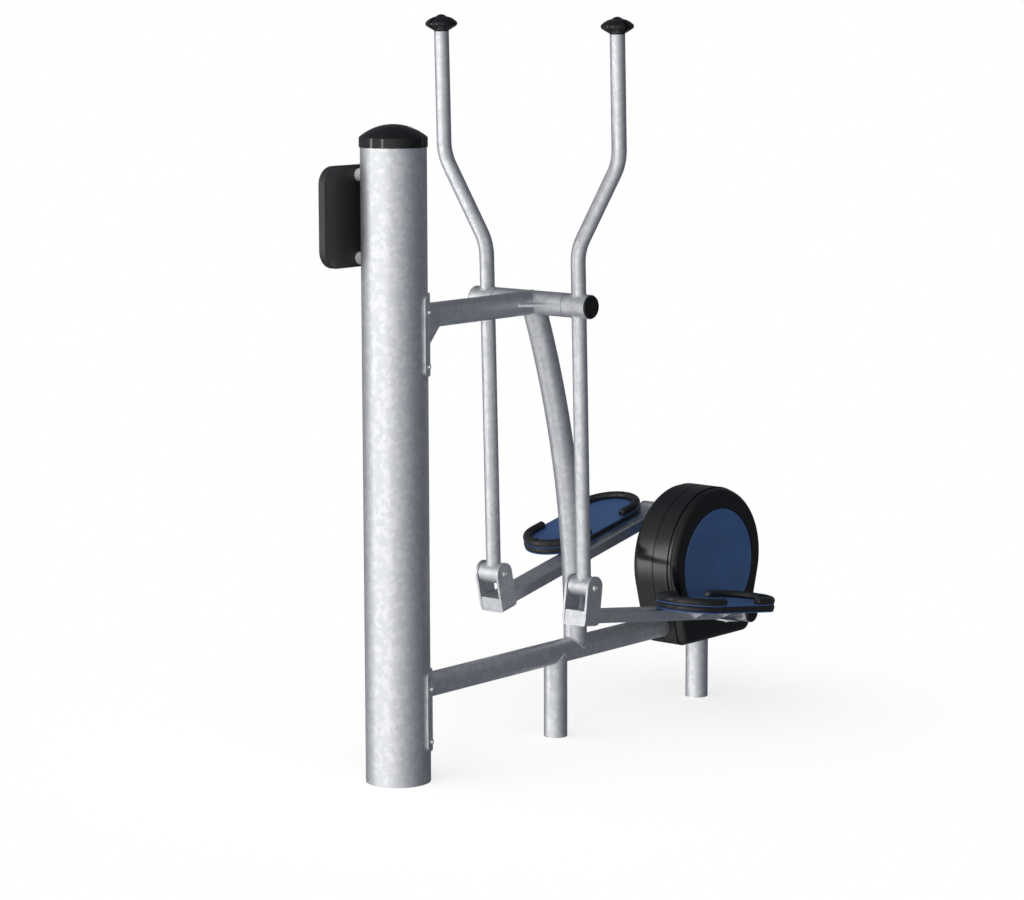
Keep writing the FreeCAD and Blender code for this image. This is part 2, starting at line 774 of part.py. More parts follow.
def make_rim(way):
    leg_end = way * rim_leg_end
    rim = sweep(rim_path(leg_end, way, board_top + rim_height - rim_radius), rim_radius)
    ends = edges_at(rim, lambda edge: edge.BoundBox.YLength < 1e-6
                    and abs(edge.BoundBox.YMin - leg_end) < 1e-6)
    rim = rim.makeFillet(rim_end_rounding, ends)
    under = block(-board_width, board_width, -board_length, board_length, board_top - 3 * rim_radius,
                  board_top)
    rim = rim.cut(under)
    u = way * rim_screw_u
    rim = rim.cut(rod(Vec(0, u, screw_seat), Vec(0, u, screw_seat + rim_height), small_head_radius))
    rim = rim.cut(rod(Vec(0, u, board_top), Vec(0, u, screw_seat), small_shank_radius))
    return rim.removeSplitter()


screw_seat = board_top + rim_height - rim_recess_depth
rim_screw_u = board_length / 2 - rim_radius


def make_foot_screws(side):
    """Four bolts up through the outriggers, one screw down through each rim, and the pad's bolt."""
    screws = [make_pad_bolt(side)]
    for x, u in board_bolt_places(side):
        screws.append(button_screw(Vec(x, u, board_bottom + board_bolt_depth), Vec(x, u, arm_top),
                                   board_bolt_head, board_bolt_head_height, board_bolt_radius))
    x = side * board_x
    for u in (board_u - rim_screw_u, board_u + rim_screw_u):
        screws.append(button_screw(Vec(x, u, board_bottom + skin_thickness), Vec(x, u, screw_seat),
                                   small_head_radius, small_head_height, small_shank_radius))
    return screws


def drill_for(shape, screws):
    for screw in screws:
        if shape.BoundBox.intersect(screw.BoundBox):
            shape = shape.cut(screw)
    return shape


def make_pedal(name, side):
    x = side * lever_x
    save(name + "_pedal_arm", in_pedal(make_arm(x, side), side))
    bolt = make_pivot_bolt(x)
    save(name + "_fork", in_pedal(make_fork(x), side))
    save(name + "_pivot_bolt", group([in_pedal(piece, side) for piece in bolt]))
    save(name + "_outriggers", group([in_pedal(piece, side) for piece in make_outriggers(side)]))

    screws = make_foot_screws(side)
    core = stadium(board_length, board_width, board_bottom + skin_thickness, core_thickness)
    long_way = edges_at(core, lambda edge: edge.BoundBox.ZLength < 1e-6)
    core = core.makeFillet(core_rounding, long_way)
    skins = []
    for z0 in (board_bottom, board_top - skin_thickness):
        skins.append(stadium(board_length - 2 * skin_inset, board_width - 2 * skin_inset, z0, skin_thickness))
    place = Vec(side * board_x, board_u, 0)
    for piece in [core] + skins:
        piece.translate(place)
    save(name + "_board_core", in_pedal(drill_for(core, screws), side))
    save(name + "_board_skins", group([in_pedal(drill_for(skin, screws), side) for skin in skins]))
    rims = [make_rim(-1), make_rim(1)]
    for rim in rims:
        rim.translate(place)
    save(name + "_foot_rims", group([in_pedal(rim, side) for rim in rims]))
    save(name + "_foot_screws", group([in_pedal(screw, side) for screw in screws]))

    bore = pin_hub_radius - pin_hub_wall
    bearings = []
    pin_end = pin_hub_outer - pin_cap_plug - pin_end_gap
    for inner in (pin_hub_inner, pin_end - pin_bearing_width):
        bearings.append(in_pedal(ring_x(side * inner, side * (inner + pin_bearing_width), pin_u, -arm_drop,
                                        bore, pin_radius), side))
    save(name + "_pin_bearings", group(bearings))
    pin = rod_x(side * pin_end_x, side * pin_end, pin_u, -arm_drop, pin_radius)
    shoulder = rod_x(side * pin_end_x, side * pin_hub_inner, pin_u, -arm_drop, pin_shoulder_radius)
    save(name + "_pin_spindle", in_pedal(pin.fuse(shoulder).removeSplitter(), side))
    outer = side * (pin_hub_outer + pin_cap_thickness)
    cap = rod_x(side * pin_hub_outer, outer, pin_u, -arm_drop, pin_hub_radius)
    rounded = edges_at(cap, lambda edge: edge.BoundBox.XLength < 1e-6
                       and abs(edge.BoundBox.XMin - outer) < 1e-6)
    cap = cap.makeFillet(pin_cap_rounding, rounded)
    plug = rod_x(side * (pin_hub_outer - pin_cap_plug), side * pin_hub_outer, pin_u, -arm_drop, bore)
    save(name + "_pin_cap", in_pedal(cap.fuse(plug).removeSplitter(), side))


def make_crank():
    save("crank_shaft", rod_x(-crank_shaft_half, crank_shaft_half, crank_y, crank_z, crank_shaft_radius))
    plates = []
    discs = []
    for side in (1, -1):
        inner = side * crank_plate_inner
        outer = side * (crank_plate_inner + crank_plate_thickness)
        face = side * (crank_plate_inner + crank_plate_thickness + disc_thickness)
        y = crank_y + side * pin_offset_y
        z = crank_z + side * pin_offset_z
        plate = rod_x(inner, outer, crank_y, crank_z, crank_plate_radius)
        collar = rod_x(side * (bearing_tube_half + crank_collar_gap), inner, crank_y, crank_z,
                       crank_collar_radius)
        boss = rod_x(inner, side * pin_boss_top, y, z, pin_boss_radius)
        shaft = rod_x(side * bearing_tube_half, outer, crank_y, crank_z, crank_shaft_radius)
        plates.append(plate.fuse(collar).fuse(boss).cut(shaft).removeSplitter())
        disc = rod_x(outer, face, crank_y, crank_z, disc_radius)
        rim = edges_at(disc, lambda edge: edge.BoundBox.XLength < 1e-6
                       and abs(edge.BoundBox.XMin - face) < 1e-6)
        disc = disc.makeFillet(disc_rounding, rim).cut(rod_x(outer, face, y, z, pin_boss_radius))
        turn = math.atan2(side * pin_offset_z, side * pin_offset_y) - math.radians(cover_lead)
        cover = rod_x(face, face + side * cover_height, crank_y + cover_distance * math.cos(turn),
                      crank_z + cover_distance * math.sin(turn), cover_radius)
        discs.append(disc.fuse(cover).removeSplitter())
    save("crank_plates", group(plates))
    save("crank_discs", group(discs))


def housing_outline(inset, x):
    """The housing's side view, drawn in by the inset: a drum whose flanks run down to a flat foot."""
    radius = housing_radius - inset
    lean = math.radians(housing_flank_angle)
    bottom = housing_bottom_z + inset
    corner = max(housing_corner - inset, housing_corner_least)
    tangent_y = radius * math.cos(lean)
    tangent_z = housing_centre_z - radius * math.sin(lean)
    foot_y = tangent_y - (tangent_z - bottom) * math.tan(lean)
    half_turn = (math.pi / 2 - lean) / 2
    setback = corner * math.tan(half_turn)
    edges = []
    top = Vec(x, crank_y, housing_centre_z + radius)
    sides = {}
    for way in (-1, 1):
        start = Vec(x, crank_y + way * tangent_y, tangent_z)
        sharp = Vec(x, crank_y + way * foot_y, bottom)
        on_flank = sharp.add(Vec(0, way * math.sin(lean), math.cos(lean)).multiply(setback))
        on_foot = sharp.add(Vec(0, -way * setback, 0))
        inward = Vec(0, -way * math.cos(half_turn), math.sin(half_turn))
        middle = sharp.add(inward.multiply(corner / math.cos(half_turn) - corner))
        edges.append(Part.makeLine(start, on_flank))
        edges.append(Part.Arc(on_flank, middle, on_foot).toShape())
        sides[way] = (start, on_foot)
    edges.append(Part.makeLine(sides[-1][1], sides[1][1]))
    edges.append(Part.Arc(sides[-1][0], top, sides[1][0]).toShape())
    return Part.Face(Part.Wire(Part.__sortEdges__(edges)))


def housing_body(inset, depth, rounding):
    """One half of the drum, from the seam's groove to the face, its shoulder stepped in and rounded."""
    seam = housing_outline(inset + housing_seam_depth, 0).extrude(Vec(housing_seam_half, 0, 0))
    main = housing_outline(inset, housing_seam_half)
    main = main.extrude(Vec(housing_step_x - inset - housing_seam_half, 0, 0)).fuse(seam)
    face = housing_outline(inset + housing_step, 0).extrude(Vec(depth, 0, 0))
    rim = edges_at(face, lambda edge: edge.BoundBox.XLength < 1e-6
                   and abs(edge.BoundBox.XMin - depth) < 1e-6)
    return main.fuse(face.makeFillet(rounding, rim)).removeSplitter()


def housing_boss_places():
    for angle in housing_boss_angles:
        a = math.radians(angle)
        yield crank_y + housing_boss_distance * math.cos(a), crank_z + housing_boss_distance * math.sin(a)


head_seat_x = housing_half_width - housing_head_recess


def make_shell(side):
    shell = housing_body(0, housing_half_width, housing_rounding)
    shell = shell.cut(housing_body(housing_wall, housing_half_width - housing_wall,
                                   housing_rounding - housing_wall))
    inside = housing_half_width - housing_wall
    for y, z in housing_boss_places():
        shell = shell.fuse(rod_x(0, inside + housing_wall / 2, y, z, housing_boss_radius))
    shell = shell.cut(rod_x(inside - overcut, housing_half_width + overcut, crank_y, crank_z,
                            disc_opening_radius))
    hole = frame_tube_radius + tube_hole_clearance
    shell = shell.cut(rod(Vec(0, crank_y, 0), Vec(0, crank_y, crank_z), hole))
    shell = shell.cut(rod(Vec(0, 0, lower_tube_z), Vec(0, crank_y, lower_tube_z), hole))
    hole_end = housing_half_width + overcut if side < 0 else housing_screw_reach
    for y, z in housing_boss_places():
        shell = shell.cut(rod_x(-overcut, hole_end, y, z, housing_screw_radius))
        if side < 0:
            shell = shell.cut(rod_x(head_seat_x, hole_end, y, z, housing_recess_radius))
    shell = keep_largest(shell.removeSplitter())
    if side < 0:
        shell = shell.mirror(Vec(), X_AXIS)
    return shell


def make_housing_screws():
    screws = []
    for y, z in housing_boss_places():
        screws.append(button_screw(Vec(housing_screw_reach, y, z), Vec(-head_seat_x, y, z),
                                   housing_head_radius, housing_head_height, housing_screw_radius))
    return screws


def make_bearing_tube():
    """The crank's bearing tube on its upright plate, which stands on the lower tube."""
    body = rod_x(-bearing_tube_half, bearing_tube_half, crank_y, crank_z, bearing_tube_radius)
    half = support_plate_thickness / 2
    tube_top = lower_tube_z + frame_tube_radius
    front = crank_y - support_plate_length
    points = [(front, lower_tube_z), (front, tube_top + support_plate_foot),
              (crank_y - support_plate_back, crank_z + support_plate_top), (crank_y, crank_z),
              (crank_y, lower_tube_z)]
    plate = side_plate(points, -half, half)
    leg = rod(Vec(0, crank_y, 0), Vec(0, crank_y, crank_z), frame_tube_radius)
    lower = rod(Vec(0, 0, lower_tube_z), Vec(0, crank_y, lower_tube_z), frame_tube_radius)
    plate = keep_largest(plate.cut(body).cut(leg).cut(lower))
    body = body.fuse(plate).removeSplitter()
    body = body.cut(rod_x(-bearing_tube_half, bearing_tube_half, crank_y, crank_z,
                          bearing_radius - bearing_shoulder))
    for side in (-1, 1):
        inner = side * (bearing_tube_half - bearing_width)
        body = body.cut(rod_x(inner, side * bearing_tube_half, crank_y, crank_z, bearing_radius))
    return body


def make_crank_bearings():
    rings = []
    for side in (-1, 1):
        inner = side * (bearing_tube_half - bearing_width)
        rings.append(ring_x(inner, side * bearing_tube_half, crank_y, crank_z, bearing_radius,
                            crank_shaft_radius + running_clearance))
    return rings


def make_info_board():
    slab = block(-info_x - info_thickness, -info_x, -info_half_width, info_half_width, info_bottom,
                 info_bottom + info_height)
    corners = edges_at(slab, lambda edge: edge.BoundBox.XLength > info_thickness / 2)
    slab = slab.makeFillet(info_corner, corners)
    slab = slab.makeFillet(info_rounding, edges_at(slab, lambda edge: edge.BoundBox.XLength < 1e-6))
    for y, z in info_screw_places():
        slab = slab.cut(rod_x(-info_x - info_thickness, -info_x, y, z, info_screw_radius))
    return slab


def make_info_fixings():
    """Spacers between the board and the post's round wall, and the screws through them."""
    post = rod(Vec(0, 0, 0), Vec(0, 0, post_top), post_radius)
    spacers = []
    screws = []
    for y, z in info_screw_places():
        spacer = ring_x(-info_x, 0, y, z, spacer_radius, info_screw_radius)
        spacers.append(min(spacer.cut(post).Solids, key=lambda solid: solid.BoundBox.XMin))
        tip = Vec(post_wall + info_screw_grip - post_radius, y, z)
        seat = Vec(-info_x - info_thickness, y, z)
        screws.append(button_screw(tip, seat, info_head_radius, info_head_height, info_screw_radius))
    return spacers, screws


save("main_post", make_post())
save("post_cap", make_post_cap())
save("post_saddles", group([make_saddle(upper_saddle_z), make_saddle(lower_saddle_z)]))
save("saddle_bolts", group(make_saddle_bolts()))
save("upper_tube", make_upper_tube())
save("gusset_plates", group(make_gussets()))
save("axle_tube", make_axle_tube())
save("down_tube", make_down_tube())
save("lower_tube", make_lower_tube())
save("front_leg", make_front_leg())
save("rear_leg", make_rear_leg())
save("pivot_shaft", rod_x(-axle_shaft_half, axle_shaft_half, axle_y, upper_tube_z, axle_shaft_radius))
save("shaft_collars", group(make_shaft_collars()))
save("info_board", make_info_board())
info_spacers, info_screws = make_info_fixings()
save("board_spacers", group(info_spacers))
save("board_screws", group(info_screws))
save("housing_left_shell", make_shell(1))
save("housing_right_shell", make_shell(-1))
save("housing_screws", group(make_housing_screws()))
save("crank_bearing_tube", make_bearing_tube())
save("crank_bearings", group(make_crank_bearings()))
make_crank()
for side_name, side_sign in SIDES.items():
    make_lever(side_name, side_sign)
    make_pedal(side_name, side_sign)
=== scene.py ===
import json
import math
import bmesh
import bpy
import numpy as np
from mathutils import Matrix, Vector


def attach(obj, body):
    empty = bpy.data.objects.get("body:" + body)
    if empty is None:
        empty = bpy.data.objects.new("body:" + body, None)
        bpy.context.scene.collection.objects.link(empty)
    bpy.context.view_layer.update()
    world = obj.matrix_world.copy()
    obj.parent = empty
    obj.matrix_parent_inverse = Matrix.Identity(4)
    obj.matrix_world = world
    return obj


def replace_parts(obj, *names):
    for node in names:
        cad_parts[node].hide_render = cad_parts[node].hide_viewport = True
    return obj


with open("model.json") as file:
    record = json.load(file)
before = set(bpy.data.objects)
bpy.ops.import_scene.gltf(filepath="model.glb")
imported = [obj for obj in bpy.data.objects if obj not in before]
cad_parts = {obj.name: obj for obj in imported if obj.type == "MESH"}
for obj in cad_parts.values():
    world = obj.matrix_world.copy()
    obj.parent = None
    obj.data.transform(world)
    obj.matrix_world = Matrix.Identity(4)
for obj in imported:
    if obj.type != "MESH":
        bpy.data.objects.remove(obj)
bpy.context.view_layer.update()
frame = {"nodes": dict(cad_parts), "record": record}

# Camera, fitted to the photograph
camera_place = (4.2066, -4.6199, 1.5849)
camera_heading = 39.11
camera_drop = 8.52
camera_lens = 115.6
camera_shift = -0.0646

# Studio: headings point from the object to where the light comes from
floor_middle = (0.0, 0.5, 0.0)
glow_heading = (0.031, -0.9967, -0.075)
glow_spread = 2.34
glow_floor = 0.117
glow_gain = 0.99
strip_headings = ((-0.587, -0.81, 0.0), (0.088, -0.996, 0.0))
strip_sharpness = 900.0
strip_strength = 5.0
strip_fade = 8.0
room_level = 1.5
shade_tint = (0.81, 0.87, 1.0)
white = (1.0, 1.0, 1.0)
softbox_headings = ((-0.587, -0.81, 0.25), (0.088, -0.996, 0.3))
softbox_distance = 4.5
softbox_size = (0.5, 2.6)
softbox_power = 4.0
softbox_aim = (0, 0.45, 0.7)
floor_half = 30.0
floor_grey = 0.6
floor_keep = 0.33
shadow_near = 0.55
shadow_far = 1.25
tint_end = 0.75

# Colours, linear
zinc_pale = (0.755, 0.763, 0.783)
zinc_mid = (0.695, 0.706, 0.732)
zinc_dull = (0.66, 0.672, 0.7)
machined_grey = (0.5, 0.51, 0.53)
stainless_grey = (0.8, 0.8, 0.8)
plate_grey = (0.62, 0.625, 0.635)
black_plastic = (0.0035, 0.0037, 0.0042)
black_rubber = (0.012, 0.0125, 0.0134)
board_black = (0.026, 0.0272, 0.03)
blue_laminate = (0.05, 0.115, 0.288)
white_nylon = (0.85, 0.85, 0.84)

# Zinc: spangle scales and how far the flakes, sheen and relief go
flake_scales = (95.0, 240.0)
flake_warp_scale = 120.0
flake_warp = 0.011
flake_range = (0.78, 1.08)
drift_scale = 20.0
zinc_roughness = 0.53
zinc_sheen = 0.07
zinc_relief = (0.1, 0.0002)

# Plain metal and moulded parts: how far colour and roughness vary, and the relief of the grain
metal_shade = 0.85
metal_spread = 0.15
metal_relief = (0.05, 0.0002)
cloud_scale = 14.0
cloud_shades = (0.8, 1.25)
cloud_spread = 0.12
grain_strength = 0.25

# Sizes of the model that the added pieces sit on
tube_radius = 0.02415
saddle_radius = 0.0675
upper_tube_z = 0.902
lower_tube_z = 0.175
axle_y = 0.4105
front_leg_y = 0.481
down_tube_foot_y = 0.545
down_tube_lean = math.radians(21.683)
lever_x = 0.119
lever_radius = 0.015
lever_length = 0.567
lever_tilt = math.radians(1.55)
fork_sleeve_radius = 0.021
fork_half_gap = 0.025
fork_thickness = 0.005
crank_y = 0.962
crank_z = 0.297
crank_radius = 0.095
arm_drop = 0.0605
arm_half_width = 0.025
arm_half_height = 0.0125
pin_hub_radius = 0.02
web_places = (0.353, 0.455)
web_half = 0.002

# Welds, blank plate, fasteners and edges
bead_radius = 0.0016
bead_pitch = 0.0034
bead_ripple = 0.16
plate_face_x = -0.094
plate_size = (0.176, 0.118)
plate_middle_z = 1.0961
plate_thickness = 0.0008
plate_corner = 0.008
plate_bevel = 0.0003
corner_steps = 8
socket_share = 0.42
head_crown = 0.92
shoulder_radius = 0.008
thread_radius = 0.004
pivot_head = (0.0075, 0.0048)
pivot_nut = (0.0075, 0.0065)
nut_rounding = (1.08, 1.08, 0.983)
shell_rounding = 0.0012
merge_distance = 1e-6
end_depth = 1e-5
least_shank = 1e-4
ring_steps = 48
side_steps = 12

# Angles from which an edge counts as sharp, in degrees
shell_sharp = 50
seal_sharp = 40
bead_sharp = 70.0
piece_sharp = 30.0

# Lip seals behind the gaps round the crank discs: radius and distance from the middle
seal_profile = ((0.114, 0.0482), (0.126, 0.0482), (0.126, 0.05405),
                (0.124, 0.05405), (0.124, 0.0496), (0.1145, 0.0496))
seal_steps = 96


class Sock:
    """A socket or a number, with arithmetic that adds Math nodes."""

    def __init__(self, nodes, link):
        self.nodes = nodes
        self.link = link

    def math(self, operation, *others):
        inputs = dict(enumerate((self,) + others))
        return self.nodes.node("ShaderNodeMath", {"operation": operation}, inputs)

    def __add__(self, other):
        return self.math("ADD", other)

    def __sub__(self, other):
        return self.math("SUBTRACT", other)

    def __mul__(self, other):
        return self.math("MULTIPLY", other)

    def __truediv__(self, other):
        return self.math("DIVIDE", other)

    def __pow__(self, other):
        return self.math("POWER", other)

    def __rsub__(self, other):
        return self.nodes.node("ShaderNodeMath", {"operation": "SUBTRACT"}, {0: other, 1: self})

    __radd__ = __add__
    __rmul__ = __mul__


class Nodes:
    """A node tree under construction."""

    def __init__(self, tree):
        self.tree = tree

    def node(self, kind, settings=None, inputs=None, output=0):
        made = self.tree.nodes.new(kind)
        for name, value in (settings or {}).items():
            if name == "stops":
                ramp = made.color_ramp
                for index, (place, colour) in enumerate(value):
                    stop = ramp.elements[index] if index < 2 else ramp.elements.new(place)
                    stop.position = place
                    stop.color = (*colour, 1.0)
            else:
                setattr(made, name, value)
        for name, value in (inputs or {}).items():
            if isinstance(value, Sock):
                self.tree.links.new(value.link, made.inputs[name])
            elif isinstance(value, tuple) and len(value) == 3 and made.inputs[name].type == "RGBA":
                made.inputs[name].default_value = (*value, 1.0)
            else:
                made.inputs[name].default_value = value
        return Sock(self, made.outputs[output])

    def vector(self, operation, first, second=None):
        inputs = {0: first} if second is None else {0: first, 1: second}
        output = "Value" if operation in ("DOT_PRODUCT", "LENGTH") else 0
        return self.node("ShaderNodeVectorMath", {"operation": operation}, inputs, output)


class Shader(Nodes):
    """One material or world under construction."""

    def __init__(self, owner):
        owner.use_nodes = True
        super().__init__(owner.node_tree)
        self.tree.nodes.clear()

    def place(self):
        return self.node("ShaderNodeTexCoord", output="Object")

    def noise(self, scale, detail=3.0, rough=0.5, where=None):
        return self.node("ShaderNodeTexNoise", None, {
            "Vector": where or self.place(), "Scale": scale, "Detail": detail, "Roughness": rough})

    def ramp(self, value, *stops):
        return self.node("ShaderNodeValToRGB", {"stops": stops}, {"Fac": value})

    def mix(self, amount, first, second):
        inputs = {0: amount, 6: first, 7: second}
        return self.node("ShaderNodeMix", {"data_type": "RGBA"}, inputs, output=2)

    def bump(self, height, strength, distance):
        return self.node("ShaderNodeBump", None, {
            "Height": height, "Strength": strength, "Distance": distance})

    def ray(self, kind):
        return self.node("ShaderNodeLightPath", output=f"Is {kind} Ray")

    def finish(self, shader, kind="ShaderNodeOutputMaterial"):
        self.tree.links.new(shader.link, self.tree.nodes.new(kind).inputs["Surface"])

    def surface(self, inputs):
        self.finish(self.node("ShaderNodeBsdfPrincipled", None, inputs))


class Shape(Nodes):
    """A geometry tree with named inputs for its sizes and its material."""

    def __init__(self, name, *sizes):
        super().__init__(bpy.data.node_groups.new(name, "GeometryNodeTree"))
        side = self.tree.interface
        side.new_socket("Geometry", in_out="INPUT", socket_type="NodeSocketGeometry")
        side.new_socket("Geometry", in_out="OUTPUT", socket_type="NodeSocketGeometry")
        self.keys = {}
        for label in sizes:
            made = side.new_socket(label, in_out="INPUT", socket_type="NodeSocketFloat")
            self.keys[label] = made.identifier
        made = side.new_socket("Material", in_out="INPUT", socket_type="NodeSocketMaterial")
        self.keys["Material"] = made.identifier
        self.given = self.tree.nodes.new("NodeGroupInput")

    def size(self, label):
        return Sock(self, self.given.outputs[label])

    def named(self, name, data_type):
        settings = {"data_type": data_type}
        return self.node("GeometryNodeInputNamedAttribute", settings, {"Name": name})

    def join(self, *pieces):
        joined = self.tree.nodes.new("GeometryNodeJoinGeometry")
        for piece in pieces:
            self.tree.links.new(piece.link, joined.inputs[0])
        return Sock(self, joined.outputs[0])

    def cylinder(self, vertices, radius, depth, segments=1):
        return self.node("GeometryNodeMeshCylinder", None, {
            "Vertices": vertices, "Side Segments": segments, "Radius": radius, "Depth": depth})

    def move(self, piece, shift, scale=(1.0, 1.0, 1.0)):
        return self.node("GeometryNodeTransform", None, {
            "Geometry": piece, "Translation": shift, "Scale": scale})

    def combine(self, operation, first, second):
        solver = {"operation": operation, "solver": "EXACT"}
        inputs = {"Mesh 2": second}
        if operation != "INTERSECT":
            inputs = {"Mesh 1": first, "Mesh 2": second}
        made = self.node("GeometryNodeMeshBoolean", solver, inputs)
        if operation == "INTERSECT":
            self.tree.links.new(first.link, made.link.node.inputs["Mesh 2"])
        return made

    def result(self, geometry):
        real = self.node("GeometryNodeRealizeInstances", None, {"Geometry": geometry})
        last = self.node("GeometryNodeSetMaterial", None, {
            "Geometry": real, "Material": self.size("Material")})
        self.tree.links.new(last.link, self.tree.nodes.new("NodeGroupOutput").inputs["Geometry"])


def new_material(name):
    material = bpy.data.materials.new(name)
    return material, Shader(material)


def galvanised_steel():
    """Hot-dip zinc: soft feathery spangle, pale flakes scattered over a duller ground."""
    material, sh = new_material("galvanised_steel")
    place = sh.place()
    warp = sh.node("ShaderNodeTexNoise", None, {
        "Vector": place, "Scale": flake_warp_scale, "Detail": 3.0}, output=1)
    bent = sh.node("ShaderNodeVectorMath", {"operation": "MULTIPLY_ADD"}, {
        0: warp, 1: (flake_warp,) * 3, 2: place})
    large, small = [sh.node("ShaderNodeSeparateColor", None, {
        "Color": sh.node("ShaderNodeTexVoronoi", None, {"Vector": bent, "Scale": size}, output=1)})
        for size in flake_scales]
    drift = sh.noise(drift_scale, 3.0, 0.55, place)
    low, high = flake_range
    flake = sh.ramp(large + drift * 0.6, (low, (0.0,) * 3), (high, (1.0,) * 3))
    ground = sh.mix(small * 0.5 + drift * 0.5, zinc_dull, zinc_mid)
    grain = small * 0.6 + large * 0.4
    sh.surface({"Base Color": sh.mix(flake, ground, zinc_pale), "Metallic": 1.0,
                "Roughness": zinc_roughness - grain * zinc_sheen,
                "Normal": sh.bump(grain, *zinc_relief)})
    return material


def plain_metal(name, colour, roughness, scale):
    material, sh = new_material(name)
    marks = sh.noise(scale, 4.0, 0.6)
    darker = tuple(metal_shade * c for c in colour)
    sh.surface({"Base Color": sh.mix(marks, darker, colour), "Metallic": 1.0,
                "Roughness": marks * metal_spread + (roughness - 0.07),
                "Normal": sh.bump(marks, *metal_relief)})
    return material


def moulded(name, colour, roughness, grain, depth):
    """Moulded plastic or rubber with a fine surface grain."""
    material, sh = new_material(name)
    texture = sh.noise(grain, 2.0, 0.6)
    cloud = sh.noise(cloud_scale, 3.0, 0.6)
    darker, paler = (tuple(shade * c for c in colour) for shade in cloud_shades)
    sh.surface({"Base Color": sh.mix(cloud, darker, paler),
                "Roughness": cloud * cloud_spread + (roughness - 0.06),
                "Normal": sh.bump(texture, grain_strength, depth)})
    return material


def studio_floor():
    """White floor that keeps the object's soft shadow; metal sees the white studio through it."""
    material, sh = new_material("studio_floor")
    away = sh.vector("LENGTH", sh.vector("SUBTRACT", sh.place(), floor_middle))
    near = sh.node("ShaderNodeMapRange", {"interpolation_type": "SMOOTHSTEP"}, {
        "Value": away, "From Min": shadow_near, "From Max": shadow_far,
        "To Min": 1.0, "To Max": 0.0})
    strength = sh.ray("Camera") * (1.0 - near * floor_keep)
    white_glow = sh.node("ShaderNodeEmission", None, {"Color": white, "Strength": strength})
    lit = sh.node("ShaderNodeBsdfDiffuse", None, {"Color": near * floor_grey})
    both = sh.node("ShaderNodeAddShader", None, {0: white_glow, 1: lit})
    mirrored = sh.ray("Glossy").math("MAXIMUM", sh.ray("Transmission"))
    clear = sh.node("ShaderNodeBsdfTransparent")
    sh.finish(sh.node("ShaderNodeMixShader", None, {0: mirrored, 1: both, 2: clear}))
    return material


def studio_world():
    """White backdrop to the camera; a soft glow from the front, and two strips in reflections."""
    world = bpy.data.worlds.new("studio")
    bpy.context.scene.world = world
    sh = Shader(world)
    direction = sh.node("ShaderNodeTexCoord", output="Generated")
    facing = sh.vector("DOT_PRODUCT", direction, glow_heading) * 0.5 + 0.5
    shade = facing.math("MAXIMUM", 0.0) ** glow_spread * glow_gain + glow_floor
    level = sh.vector("NORMALIZE", sh.vector("MULTIPLY", direction, (1.0, 1.0, 0.0)))
    height = sh.node("ShaderNodeSeparateXYZ", None, {"Vector": direction}, output=2)
    strips = 0.0
    for heading in strip_headings:
        along = sh.vector("DOT_PRODUCT", level, heading).math("MAXIMUM", 0.0)
        strips = along ** strip_sharpness + strips
    strips = strips * (1.0 - height * height) ** strip_fade * strip_strength
    tint = sh.ramp(shade, (glow_floor, shade_tint), (tint_end, white))
    camera = sh.ray("Camera")
    seen = camera.math("MAXIMUM", sh.ray("Glossy")).math("MAXIMUM", sh.ray("Transmission"))
    strength = camera + (1.0 - camera) * (shade + strips)
    backdrop = sh.node("ShaderNodeBackground", None, {
        "Color": sh.mix(camera, tint, white), "Strength": strength})
    lit = sh.node("ShaderNodeBackground", None, {"Color": white, "Strength": shade * room_level})
    both = sh.node("ShaderNodeMixShader", None, {0: seen, 1: lit, 2: backdrop})
    sh.finish(both, "ShaderNodeOutputWorld")


def mesh_object(name, mesh):
    made = bpy.data.objects.new(name, mesh)
    bpy.context.scene.collection.objects.link(made)
    return made


def make_floor():
    mesh = bpy.data.meshes.new("floor")
    half = floor_half
    corners = [(-half, -half, 0), (half, -half, 0), (half, half, 0), (-half, half, 0)]
    mesh.from_pydata(corners, [], [(0, 1, 2, 3)])
    floor = mesh_object("floor", mesh)
    mesh.materials.append(studio_floor())


def make_camera():
    data = bpy.data.cameras.new("view")
    data.lens = camera_lens
    data.shift_x = camera_shift
    camera = bpy.data.objects.new("view", data)
    bpy.context.scene.collection.objects.link(camera)
    camera.location = camera_place
    camera.rotation_euler = (math.radians(90 - camera_drop), 0, math.radians(camera_heading))
    bpy.context.scene.camera = camera


def make_softboxes():
    for index, direction in enumerate(softbox_headings):
        data = bpy.data.lights.new(f"softbox_{index}", "AREA")
        data.shape = "RECTANGLE"
        data.size, data.size_y = softbox_size
        data.energy = softbox_power
        lamp = bpy.data.objects.new(f"softbox_{index}", data)
        bpy.context.scene.collection.objects.link(lamp)
        aim = Vector(direction).normalized()
        lamp.location = Vector(softbox_aim) + aim * softbox_distance
        lamp.rotation_euler = aim.to_track_quat("Z", "Y").to_euler()


def grow(name, base, shape, sizes, material, body, sharp=piece_sharp):
    """Run a geometry tree on a base mesh; the result is a plain mesh that rides on a body."""
    made = mesh_object(name, base)
    modifier = made.modifiers.new("grow", "NODES")
    modifier.node_group = shape.tree
    for label, value in {**sizes, "Material": material}.items():
        modifier[shape.keys[label]] = value
    evaluated = made.evaluated_get(bpy.context.evaluated_depsgraph_get())
    result = bpy.data.meshes.new_from_object(evaluated)
    made.modifiers.remove(modifier)
    made.data = result
    result.shade_smooth()
    result.set_sharp_from_angle(angle=math.radians(sharp))
    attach(made, body)
    return made


